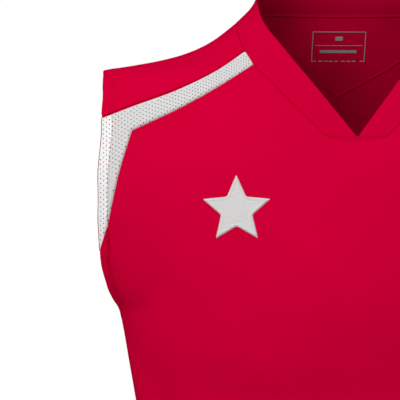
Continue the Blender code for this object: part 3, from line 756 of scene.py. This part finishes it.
def makeInterlock():
    material, tree, place = startMaterial("interlockPolyesterKnit")
    wales = ribs(tree, place, interlock["wale"], distortion=0.8)
    grain = addNode(tree, "ShaderNodeTexNoise", {"Scale": 1 / interlock["grain"], "Detail": 3.0}, {"Vector": place})
    raised = addNode(tree, "ShaderNodeMath", None, {0: wales, 1: grain}, operation="ADD")
    cloud = addNode(tree, "ShaderNodeTexNoise", {"Scale": 1 / interlock["cloud"], "Detail": 2.0}, {"Vector": place})
    # the stitches show faintly, and the dye is a little uneven over some centimetres
    shade = addNode(tree, "ShaderNodeMath", {1: 0.28}, {0: raised, 2: cloud}, operation="MULTIPLY_ADD")
    share = addNode(tree, "ShaderNodeMapRange", {"From Min": 0.4, "From Max": 1.2}, {"Value": shade})
    return finishMaterial(material, interlock, share, raised)


# The wrong side of the same knit, a piqué: tucks in slanting rows make small pits, and the darker colour in them is
# painted shade
pique = {
    "colours": ("#C20032", "#930024"), "pitch": 2.03, "turn": 45, "top": 1.5, "relief": (0.5, 0.2),
    "surface": {"Roughness": 0.9, "IOR": 1.54, "Specular IOR Level": 0.0},
}
# The band is cut on the cross from the same knit and doubled, so both its faces are the smooth side,
# its wales run slantwise and it stands firmer. The face inside the neck is the same smooth face, and its darker colours
# are painted shade.
bandKnit = {
    "colours": ("#CD0036", "#C60033"), "inside": ("#AA002C", "#A2002A"),
    "pitch": 2.0, "turn": 45, "top": 1.8, "relief": (0.3, 0.06),
    "surface": {"Roughness": 0.85, "IOR": 1.54, "Specular IOR Level": 0.0},
}


def makeSlantingKnit(name, knit, colours=None):  # rows that cross each other
    material, tree, place = startMaterial(name)
    one, other = (ribs(tree, place, knit["pitch"], turn) for turn in (knit["turn"], knit["turn"] - 90))
    raised = addNode(tree, "ShaderNodeMath", None, {0: one, 1: other}, operation="ADD")
    share = addNode(tree, "ShaderNodeMapRange", {"From Min": 0.2, "From Max": knit["top"]}, {"Value": raised})
    return finishMaterial(material, knit, share, raised, colours)


# White polyester eyelet mesh, warp knitted with open holes: one layer is given greyer colours, painted shade for the
# light that goes through it, and the turned hem, two layers, gets brighter colours, painted light
eyelet = {
    "colours": ("#DEDEDD", "#C9C8C9"), "double": ("#F8F7F7", "#ECEAEB"),
    "rib": 1.16, "turn": 0, "uneven": 0.0, "grain": 1.2, "top": 1.5, "relief": (0.4, 0.08),
    "surface": {"Roughness": 0.75, "IOR": 1.54, "Specular IOR Level": 0.1},
}
# Trilobal polyester embroidery thread laid in satin stitch: silver white, with a silky gloss along the stitches
satin = {
    "colours": ("#DDDBDA", "#C1BEBD"),
    "rib": 1.1, "turn": 24, "uneven": 0.6, "grain": 0.8, "top": 1.4, "relief": (0.6, 0.12),
    "surface": {"Roughness": 0.5, "IOR": 1.56, "Specular IOR Level": 0.2, "Anisotropic": 0.3},
}


def makeRibbed(name, finish, colours=None):  # ribs or stitches side by side, with the fluff of the yarn over them
    material, tree, place = startMaterial(name)
    rows = ribs(tree, place, finish["rib"], finish["turn"], finish["uneven"])
    fluff = addNode(tree, "ShaderNodeTexNoise", {"Scale": finish["grain"], "Detail": 2.0}, {"Vector": place})
    raised = addNode(tree, "ShaderNodeMath", None, {0: rows, 1: fluff}, operation="ADD")
    share = addNode(tree, "ShaderNodeMapRange", {"From Min": 0.2, "From Max": finish["top"]}, {"Value": raised})
    return finishMaterial(material, finish, share, raised, colours)


# Spun polyester sewing thread, two-ply and dyed: a fine twist and a little gloss
thread = {
    "colours": ("#C60035", "#96001F"), "twist": 0.7, "turn": 35, "relief": (0.4, 0.06),
    "surface": {"Roughness": 0.6, "IOR": 1.54, "Specular IOR Level": 0.08},
}


def makeThread():
    material, tree, place = startMaterial("spunPolyesterThread")
    twist = ribs(tree, place, thread["twist"], thread["turn"])
    return finishMaterial(material, thread, twist, twist)


# Plastisol transfer ink, screen printed and pressed on: grey, flat and a little rubbery
ink = {
    "colours": ("#8E9090", "#7C7E7F"), "grain": 1.1, "relief": (0.2, 0.02),
    "surface": {"Roughness": 0.6, "IOR": 1.5, "Specular IOR Level": 0.1},
}


def makeInk():
    material, tree, place = startMaterial("plastisolPrint")
    grain = addNode(tree, "ShaderNodeTexNoise", {"Scale": ink["grain"], "Detail": 2.0}, {"Vector": place})
    return finishMaterial(material, ink, grain, grain)


print("shirt: materials")
redKnit = [makeInterlock(), makeSlantingKnit("piqueWrongSidePaintedPitShade", pique)]
# the band's inside face is the same knit, given darker colours as painted shade
redBand = [
    makeSlantingKnit("crossCutKnit", bandKnit), makeSlantingKnit("crossCutKnitPaintedShade", bandKnit, bandKnit["inside"]),
]
# one layer of mesh in greyer colours (painted shade), and the doubled hem in brighter ones (painted light)
oneLayerMeshPaintedShade = makeRibbed("eyeletMeshPaintedShade", eyelet)
hemMeshPaintedLight = makeRibbed("eyeletMeshHemPaintedLight", eyelet, eyelet["double"])
redThread, silverThread, greyInk = makeThread(), makeRibbed("satinStitchThread", satin), makeInk()


# Panels

def run(name, kind, reverse=False):
    line = lines[name]
    return (line[::-1] if reverse else line, kind)


def otherSide(runs):  # the same edges on the wearer's right, run the other way
    return [(mirrored(line), kind) for line, kind in reversed(runs)]


panels = {
    "front": {"flat": (0.52, 0.60), "area": 0.255},
    "back": {"flat": (0.52, 0.62), "area": 0.27},
    "insert": {"flat": (0.16, 0.08), "area": 0.0085},
    "yoke": {"flat": (0.15, 0.13), "area": 0.0125},
    "meshBand": {"flat": (0.24, 0.06), "area": 0.0044},
    "neckBand": {"flat": (0.62, 0.026), "area": None},
    "smallSpacing": 3, "meshSpacing": 2.4,
    "holeColumn": 2.33, "holePitch": 3.63, "holeRadius": 0.5, "holeSides": 8,
    # towards the neck the mesh is drawn in: from here to there, the columns' and the holes' least share
    "drawnColumns": (85, 160, 0.81), "drawnHoles": (85, 190, 0.68),
}

print("shirt: front and back")
knits = {facing: knitPattern(facing) for facing in (0, 180, 90, -90)}
creases = []
for own in armholes:
    row = besideArmhole(np.concatenate(own["front"][1:]), own["middle"], edges["armhole"]["stitches"][0])
    high, low = underarm["rows"]
    creases.append((row[(row[:, 2] < high) & (row[:, 2] > low)], 0))
underV = np.concatenate([lines["underV"], mirrored(lines["underV"])[1:]])
leftFront = [
    run("neckBase", "seam", True), run("neckLow", "seam", True), run("meshLow", "bodySeam"),
    run("meshWedge", "bodySeam"), run("armFront", "armhole"), run("side", "seam"),
]
frontPanel = panel(
    "front-panel", leftFront + [(hemLine(90, -90), "hem")] + otherSide(leftFront), redKnit, 0,
    grooves=[(underV, sewing["underV"])] + creases,
)
leftBack = [run("insert", "flatSeam"), run("yokeBack", "seam"), run("armBack", "armhole"), run("side", "seam")]
backPanel = panel("back-panel", leftBack + [(hemLine(90, 270), "hem")] + otherSide(leftBack), redKnit, 180)

print("shirt: back neck insert, yokes and mesh bands")
leftInsert = [run("insert", "flatSeam"), run("neckBack", "flatSeam")]
insertPanel = panel("back-neck-insert", leftInsert + otherSide(leftInsert), redKnit, 180, panels["smallSpacing"])
yokeRuns = [
    run("neckTop", "seam", True), run("neckBehind", "seam"), run("yokeBack", "seam"),
    run("armYokeBack", "armhole", True), run("armYokeFront", "armhole"), run("yokeFront", "yokeSeam", True),
]
bandRuns = [
    run("yokeFront", "meshTop"), run("armMesh", "armhole"), run("meshWedge", "meshLow", True),
    run("meshLow", "meshLow", True), run("neckMesh", "seam", True),
]


def eyeletCentres(side):  # columns of holes, closer together towards the neck, where the mesh is drawn in
    out = np.arange(60.0, 232.0)
    near, far, least = panels["drawnColumns"]
    squeeze = np.interp(out, [near, far], [least, 1])
    columnOf = np.concatenate([[0], np.cumsum(1 / (panels["holeColumn"] * squeeze[:-1]))])
    near, far, least = panels["drawnHoles"]
    found = []
    for column in range(int(columnOf[-1]) + 1):
        x = np.interp(column, columnOf, out)
        pitch = panels["holePitch"] * (least + (1 - least) * np.clip((x - near) / (far - near), 0, 1) ** 1.6)
        level = -40 - 0.25 * (min(x, 160) - 85)
        rows = level + (np.arange(-55, 25) + column % 2 / 2) * pitch
        radius = panels["holeRadius"] * math.sqrt(pitch / panels["holePitch"])
        found.append(stacked(np.full(80, side * x), rows, np.full(80, radius)))
    return np.concatenate(found)


yokePanels, bandPanels = {}, {}
for sideName, side, own in (("left", 1, list), ("right", -1, otherSide)):
    yokePanels[sideName] = panel("yoke-" + sideName, own(yokeRuns), redKnit, side * 90, panels["smallSpacing"])
    holes = eyeletCentres(side)
    bandPanels[sideName] = panel(
        "mesh-band-" + sideName, own(bandRuns), [oneLayerMeshPaintedShade, oneLayerMeshPaintedShade, hemMeshPaintedLight],
        spacing=panels["meshSpacing"], holes=(holes[:, :2], holes[:, 2]),
    )


# Neck band: doubled, folded at its free edge

neckBand = {
    "width": 24, "thickness": 2.0, "seamThick": 1.0, "thickens": 12, "crown": 0.25, "valley": 0.6, "reach": 1.4,
    "across": (0, 0.35, 0.8, 1.4, 2.4, 4, 6.5, 9, 12, 15, 18, 20.5, 22.2),  # rows, from the seam to the fold
    "foldSteps": 7, "sharpAngle": 70,
    "seam": {"neckBase": 12, "neckLow": 36, "neckMesh": 18, "neckTop": 18},  # points along each seam
    "edge": {"edgeTip": 12, "edgeLow": 54, "edgeTop": 18}, "behind": 14, "back": 50,
}


def bandSide(which, raised):
    corner = seams["yokeBackAngle"]
    runs = [seamLine(seams[name], pieces=pieces)[::-1] for name, pieces in neckBand[which].items()]
    runs += [backNeck(90, corner, raised, neckBand["behind"]), backNeck(corner, 180, raised, neckBand["back"])]
    half = np.concatenate([runs[0]] + [line[1:] for line in runs[1:]])
    return np.concatenate([half, mirrored(half)[1:-1]])


def makeNeckBand():
    seamSide, edgeSide = bandSide("seam", 0), bandSide("edge", 1)
    width, radius, outerRows = neckBand["width"], neckBand["thickness"] / 2, np.array(neckBand["across"])
    # the outer ply from the seam, the fold, and the inner ply back to the seam, where it is thin
    turns = np.linspace(math.pi / 2, -math.pi / 2, neckBand["foldSteps"])
    thickens = (2 * radius - neckBand["seamThick"]) * eased(outerRows / neckBand["thickens"])
    across = np.concatenate([outerRows, width - radius + radius * np.cos(turns), outerRows[::-1]])
    depth = np.concatenate([0 * outerRows, -radius + radius * np.sin(turns), (-neckBand["seamThick"] - thickens)[::-1]])
    localWidth = np.linalg.norm(edgeSide - seamSide, axis=1)
    rows = []
    for s, low in zip(across, depth):
        share = s / width
        base = laid(seamSide + (edgeSide - seamSide) * share)
        lift = edgeDip(localWidth * share, neckBand["valley"], neckBand["reach"])
        if low > -radius:
            lift = lift + neckBand["crown"] * math.sin(math.pi * min(share, 1)) * np.clip(localWidth / width, 0, 1)
        rows.append(base + outward(base) * (lift + low)[:, None])
    points = np.concatenate(rows)
    total, count = len(across), len(seamSide)
    j, i = indexGrid(total, count)
    k, after = (j + 1) % total, (i + 1) % count
    faces = stacked(j * count + i, j * count + after, k * count + after, k * count + i)
    along = lengthsAlong(closedLine(seamSide))
    down = np.concatenate([[0], np.cumsum(np.hypot(np.diff(across), np.diff(depth)))])
    down = np.append(down, down[-1] + 2 * radius)
    pattern = np.stack([
        stacked(along[i], along[i + 1], along[i + 1], along[i]), stacked(down[j], down[j], down[j + 1], down[j + 1])
    ], axis=2)
    isInner = j > len(outerRows) + neckBand["foldSteps"] // 2
    a, b, c = points[faces[0, :3]]
    if np.cross(b - a, c - a) @ outward(points[:1])[0] < 0:
        faces, pattern = faces[:, ::-1], pattern[:, ::-1]
    return makeMesh("neck-band", points, faces, pattern.reshape(-1, 2), redBand, isInner, neckBand["sharpAngle"])


print("shirt: neck band")
bandPiece = makeNeckBand()


# Sewing: seam allowances inside, stitches and the edge thread

threadTurns = np.arange(6) / 6 * 2 * math.pi
acrossThread, overThread = np.cos(threadTurns)[:, None], np.sin(threadTurns)[:, None]


def cappedTube(stations, around):  # faces round and along rings of points, and over both ends
    i, j = indexGrid(stations - 1, around)
    nextJ = (j + 1) % around
    sides = stacked(i * around + j, i * around + nextJ, (i + 1) * around + nextJ, (i + 1) * around + j)
    lid = np.array([(k, k + 1, around - 2 - k, around - 1 - k) for k in range(around // 2 - 1)])
    return np.concatenate([sides, lid[:, ::-1], lid + (stations - 1) * around])


def allowance(line, pattern, valley, width, thick):  # a strip under a seam, with a fine furrow where the seam runs
    half, section = width / 2, sewing["allowanceSection"]
    line = evenly(line, step=4)
    line = line[fromArmholes(line) > half + 0.4]
    sideways = unit(np.cross(outward(line), directions(line)))
    top, low, flat = [], [], []
    for across, follow, share in section:
        own = laid(line + sideways * across * half)
        depth = cloth["thickness"] + 0.03 + valley * follow
        top.append(own - outward(own) * depth)
        low.append(own - outward(own) * (depth + thick * share))
        flat.append(pattern(own))
    points, uv = stacked(*top, *low[::-1]), stacked(*flat, *flat[::-1])
    return points.reshape(-1, 3), cappedTube(len(line), 2 * len(section)), uv.reshape(-1, 2)


def rowOfStitches(line):
    lengths, normals = lengthsAlong(line), outward(line)
    number = int(lengths[-1] // (sewing["stitch"] + sewing["stitchGap"]))
    starts = (np.arange(number) + 0.5) * lengths[-1] / number
    along = np.array([-0.5, -0.42, -0.2, 0.2, 0.42, 0.5]) * sewing["stitch"]
    fat = np.array([0.25, 0.7, 1, 1, 0.7, 0.25])[:, None, None]  # how full the thread is there
    centre = stacked(*[resampled(line, lengths, starts + a) for a in along])
    up = unit(stacked(*[resampled(normals, lengths, starts + a) for a in along]))
    ahead = unit(centre[:, -1:] - centre[:, :1])
    sideways = unit(np.cross(up, np.broadcast_to(ahead, up.shape)))
    arch = sewing["stitchArch"] * fat - sewing["stitchDeep"]
    points = (
        centre[:, :, None]
        + up[:, :, None] * (arch + sewing["stitchHeight"] * fat * overThread)
        + sideways[:, :, None] * (sewing["stitchWidth"] / 2 * fat * acrossThread)
    )
    ring = len(along) * len(threadTurns)
    faces = cappedTube(len(along), len(threadTurns)) + ring * np.arange(number)[:, None, None]
    u, v = np.broadcast_arrays((starts[:, None] + along)[:, :, None], threadTurns * 0.2)
    return points.reshape(-1, 3), faces.reshape(-1, 4), stacked(u.ravel(), v.ravel())


def edgeTube(line, middle):  # the thread that binds a raw edge
    line = evenly(line, step=sewing["edgeThreadPitch"] / 2)
    normals = outward(line)
    sideways = unit(line - besideArmhole(line, middle, 1.0))
    pulse = sewing["edgeThread"] * (1 + 0.15 * np.cos(np.arange(len(line)) * math.pi))
    core = line + sideways * sewing["edgeThreadOut"] - normals * 0.3
    ring = normals[:, None] * overThread + sideways[:, None] * acrossThread
    points = core[:, None] + pulse[:, None, None] * ring
    uv = stacked(np.repeat(lengthsAlong(line), len(threadTurns)), np.tile(threadTurns * 0.2, len(line)))
    return points.reshape(-1, 3), cappedTube(len(line), len(threadTurns)), uv


print("shirt: sewing")
allowances = [
    allowance(line, knits[facing], *size)
    for names, facing, *size in sewing["allowances"] for name in names for line in (lines[name], mirrored(lines[name]))
]
allowancePiece = joinMesh("seam-allowances", allowances, redKnit[1])

stitches, edgeThreads = [], []
for own in armholes:
    for line in own["front"] + own["back"]:
        row = besideArmhole(line, own["middle"], edges["armhole"]["stitches"][0])
        stitches.append(rowOfStitches(row + outward(row) * underarmDip(row[:, 2], 0)[:, None]))
    edgeThreads.append(edgeTube(own["front"][1], own["middle"]))
for up in edges["hem"]["stitches"]:
    level = form["hemHeight"] + up
    stitches.append(rowOfStitches(evenly(formPoint(np.linspace(-180, 180, 721), level))))
stitchPiece = joinMesh("hem-stitches", stitches, redThread)
edgePiece = joinMesh("armhole-edge-threads", edgeThreads, redThread)


# Chest: a plain five-pointed star, embroidered in satin stitch

star = {
    "centre": (-92.5, -149), "radius": 27, "waist": 0.46, "round": 1.6, "step": 0.9, "netToEdge": 0.45,
    "height": 0.75, "border": 2.6, "borderHeight": 0.35, "groove": 0.12, "under": 0.2,
}


def roundedPolygon(corners, radius, step):
    outline = []
    for i, corner in enumerate(corners):
        before, after = corners[i - 1], corners[(i + 1) % len(corners)]
        a, b = corner + unit(before - corner) * radius, corner + unit(after - corner) * radius
        t = np.linspace(0, 1, 6)[:, None]
        outline.append((1 - t) ** 2 * a + 2 * t * (1 - t) * corner + t * t * b)
    return evenly(np.concatenate(outline + [outline[0][:1]]), step=step)[:-1]


def patch(flat, triangles, side, top, low):  # a thin piece that lies on the form, with its faces at two heights
    points = seenFrom(side, flat)
    normals = outward(points)
    triangles = turnedOut(points, triangles, normals)
    points, faces, _ = closedShell(points + normals * top, points + normals * low, triangles)
    return points, faces, np.tile(flat, (2, 1))


def makeStar():
    turns = np.arange(10) * math.pi / 5 + math.pi / 2
    reach = np.where(np.arange(10) % 2 == 0, star["radius"], star["radius"] * star["waist"])
    corners = stacked(np.cos(turns), np.sin(turns)) * reach[:, None] + np.array(star["centre"])
    outline = roundedPolygon(corners, star["round"], star["step"])
    net = evenNet(outline, star["step"], 0)
    net = net[distanceTo(net, closedLine(outline)) > star["netToEdge"] * star["step"]]
    flat = np.concatenate([outline, net])
    away = distanceTo(flat, closedLine(outline))
    fill = star["height"] * np.clip(away / 0.5, 0.1, 1)
    border = star["borderHeight"] * np.sin(math.pi * np.clip(away / star["border"], 0, 1))
    height = fill + (border - star["groove"] * ridge(away - star["border"], 0.4))
    triangles = triangulated(flat, loopEdges(len(outline)))
    return joinMesh("chest-star", [patch(flat, triangles, front, height[:, None], -star["under"])], silverThread)


print("shirt: star and print")
starPiece = makeStar()

# Print inside the back neck: a plain frame with bars

neckPrint = {
    "left": -21.3, "right": 21.6, "low": -25, "high": -1.4, "lean": 1.0, "line": 0.6,
    "corner": 3.6, "divider": -12.2, "dividerInset": 2.2, "cell": 2.5,
    # bars: centre across, height, length, thickness
    "bars": [(0.2, -6.7, 6, 3.2), (0, -17, 30, 2.2)] + [
        (x, -24.7, 3.1, 0.8) for x in (-14, -9.5, -5.5, -1, 4.5, 9, 13.2)
    ],
    "lift": 0.1,
}


def barAcross(x0, x1, z0, z1):
    across, up = (max(1, round(length / neckPrint["cell"])) for length in (x1 - x0, z1 - z0))
    i, j = indexGrid(across + 1, up + 1)
    flat = stacked(np.linspace(x0, x1, across + 1)[i], np.linspace(z0, z1, up + 1)[j])
    i, j = indexGrid(across, up)
    a, b = i * (up + 1) + j, (i + 1) * (up + 1) + j
    return flat, np.concatenate([stacked(a, b, b + 1), stacked(a, b + 1, a + 1)])


def makePrint():
    left, right, low, high, half = *(neckPrint[key] for key in ("left", "right", "low", "high")), neckPrint["line"] / 2
    divider, corner, inset = (neckPrint[key] for key in ("divider", "corner", "dividerInset"))
    boxes = [
        (left - half, left + half, low, high - half), (right - half, right + half, low, high - half),
        (left - half, right + half, high - half, high + half),
        (left + half, left + corner, low, low + 2 * half), (right - corner, right - half, low, low + 2 * half),
        (left + inset, right - inset, divider - half * 0.7, divider + half * 0.7),
    ] + [(x - length / 2, x + length / 2, z - thick / 2, z + thick / 2) for x, z, length, thick in neckPrint["bars"]]
    parts = []
    for box in boxes:
        flat, triangles = barAcross(*box)
        flat[:, 0] -= neckPrint["lean"] * (high - flat[:, 1]) / (high - low)
        parts.append(patch(flat, triangles, back, 0.05 - cloth["thickness"], -cloth["thickness"] - neckPrint["lift"]))
    return joinMesh("neck-print", parts, greyInk)


printPiece = makePrint()


# Each piece hangs from one parent, and hides the part of model.glb that it stands for, where it has one

def finishPiece(piece, node=None):
    if node:
        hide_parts(node)
    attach(piece, "root")


for piece in (stitchPiece, edgePiece, allowancePiece, starPiece, printPiece):
    finishPiece(piece)
finishPiece(frontPanel, "front_body")
finishPiece(backPanel, "back_body")
finishPiece(insertPanel, "back_neck_insert")
for sideName in ("left", "right"):
    finishPiece(yokePanels[sideName], "shoulder_yoke_" + sideName)
    finishPiece(bandPanels[sideName], "mesh_band_" + sideName)
finishPiece(bandPiece, "neck_band")


# Floor, light and camera

studio = {
    "floorHeight": -1.37, "floorSize": 6, "floorColour": "#ECECEA", "floorRoughness": 0.9,
    "cameraDistance": 2.8, "cameraTurn": 4.8, "cameraHeight": -0.2, "lens": 320, "sensor": 36,
    "target": (-0.1161, 0, -0.1394),
    "surroundings": 0.14, "aim": (-0.05, 0, -0.2),
    # name, place, size, power, colour
    "lights": [
        ("keySoftbox", (-1.505, -1.863, 1.647), 2.0, 74.5, "#FFFFFF"),
        ("fillSoftbox", (1.979, -1.703, 1.208), 1.6, 20.5, "#FFFFFF"),
        ("rearSoftbox", (0.355, 2.883, 0.526), 2.0, 39, "#FFFFFF"),
    ],
}


def addFloor():
    mesh = bpy.data.meshes.new("studio-floor")
    size, z = studio["floorSize"], studio["floorHeight"]
    mesh.from_pydata([(-size, -size, z), (size, -size, z), (size, size, z), (-size, size, z)], [], [(0, 1, 2, 3)])
    paper = bpy.data.materials.new("studioPaper")
    paper.use_nodes = True
    shader = paper.node_tree.nodes["Principled BSDF"]
    shader.inputs["Base Color"].default_value = linear(studio["floorColour"])
    shader.inputs["Roughness"].default_value = studio["floorRoughness"]
    mesh.materials.append(paper)
    addObject("studio-floor", mesh)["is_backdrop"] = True


def addLights():
    for name, place, size, power, colour in studio["lights"]:
        light = bpy.data.lights.new(name, "AREA")
        light.shape = "DISK"
        light.size, light.energy, light.color = size, power, linear(colour)[:3]
        lamp = addObject(name, light)
        lamp.location = place
        lamp.rotation_euler = (Vector(studio["aim"]) - lamp.location).to_track_quat("-Z", "Y").to_euler()
    world = bpy.data.worlds.new("studioWhite")
    bpy.context.scene.world = world
    world.use_nodes = True
    tree = world.node_tree
    tree.nodes.clear()
    # the camera sees plain white, and the shirt is lit by a dimmer room
    seen = addNode(tree, "ShaderNodeLightPath")
    room = addNode(tree, "ShaderNodeBackground", {"Color": (1, 1, 1, 1), "Strength": studio["surroundings"]})
    white = addNode(tree, "ShaderNodeBackground", {"Color": (1, 1, 1, 1), "Strength": 1.0})
    mix = addNode(tree, "ShaderNodeMixShader", None, {"Fac": seen.outputs["Is Camera Ray"], 1: room, 2: white})
    addNode(tree, "ShaderNodeOutputWorld", None, {"Surface": mix})


def addCamera():
    turn, distance = math.radians(studio["cameraTurn"]), studio["cameraDistance"]
    place = Vector((-distance * math.sin(turn), -distance * math.cos(turn), studio["cameraHeight"]))
    ahead = (Vector(studio["target"]) - place).normalized()
    right = ahead.cross(Vector((0, 0, 1))).normalized()
    up = right.cross(ahead)
    camera = bpy.data.cameras.new("photoCamera")
    camera.lens, camera.sensor_width, camera.clip_end = studio["lens"], studio["sensor"], 20
    holder = addObject("photoCamera", camera)
    holder.matrix_world = Matrix.Translation(place) @ Matrix((right, up, -ahead)).transposed().to_4x4()
    bpy.context.scene.camera = holder


print("shirt: studio")
addFloor()
addLights()
addCamera()
bpy.context.scene.view_settings.view_transform = "Standard"

low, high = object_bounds()
